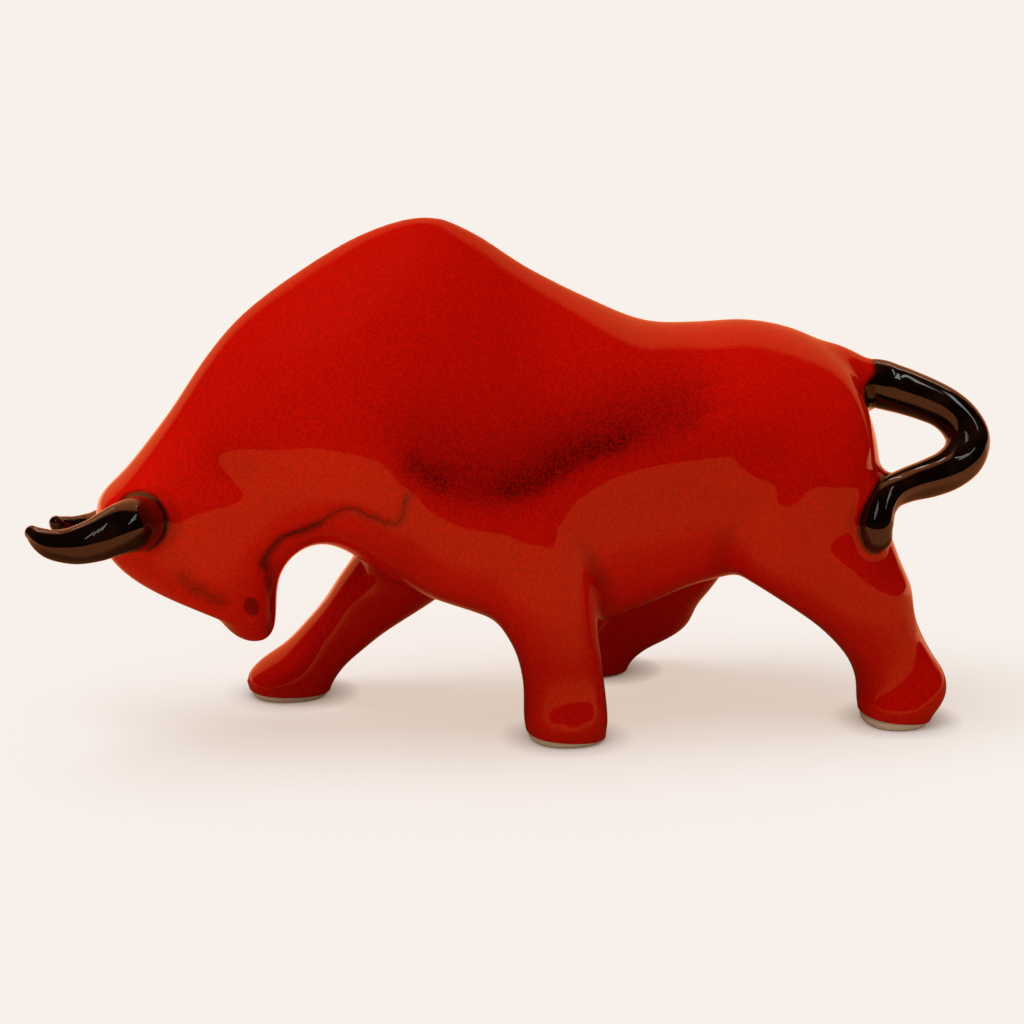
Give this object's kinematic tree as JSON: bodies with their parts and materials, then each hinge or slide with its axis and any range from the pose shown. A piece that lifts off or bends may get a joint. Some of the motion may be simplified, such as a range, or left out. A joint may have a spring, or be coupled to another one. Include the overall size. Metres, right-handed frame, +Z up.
{
  "type": "ceramic bull figurine",
  "caption": "Standing bull with lowered head, raised hump, looped tail and forward horns, as hollow glazed castings on bare clay soles.",
  "frame": {"origin": "centre of the bounding box in plan, on the plane under the four soles", "axes": "+X from the head to the tail, +Y to the bull's right side, +Z up"},
  "size_m": [0.3402, 0.111, 0.1784],
  "materials": {
    "red_glaze": "gloss",
    "black_glaze": "gloss",
    "bare_clay": "matte"
  },
  "bodies": {
    "root": {"torso": "red_glaze", "head": "red_glaze", "foreleg_left": "red_glaze", "foreleg_right": "red_glaze", "hindleg_left": "red_glaze", "hindleg_right": "red_glaze", "horn_left": "black_glaze", "horn_right": "black_glaze", "tail": "black_glaze", "foreleg_left_sole": "bare_clay", "foreleg_right_sole": "bare_clay", "hindleg_left_sole": "bare_clay", "hindleg_right_sole": "bare_clay"}
  },
  "joints": []
}
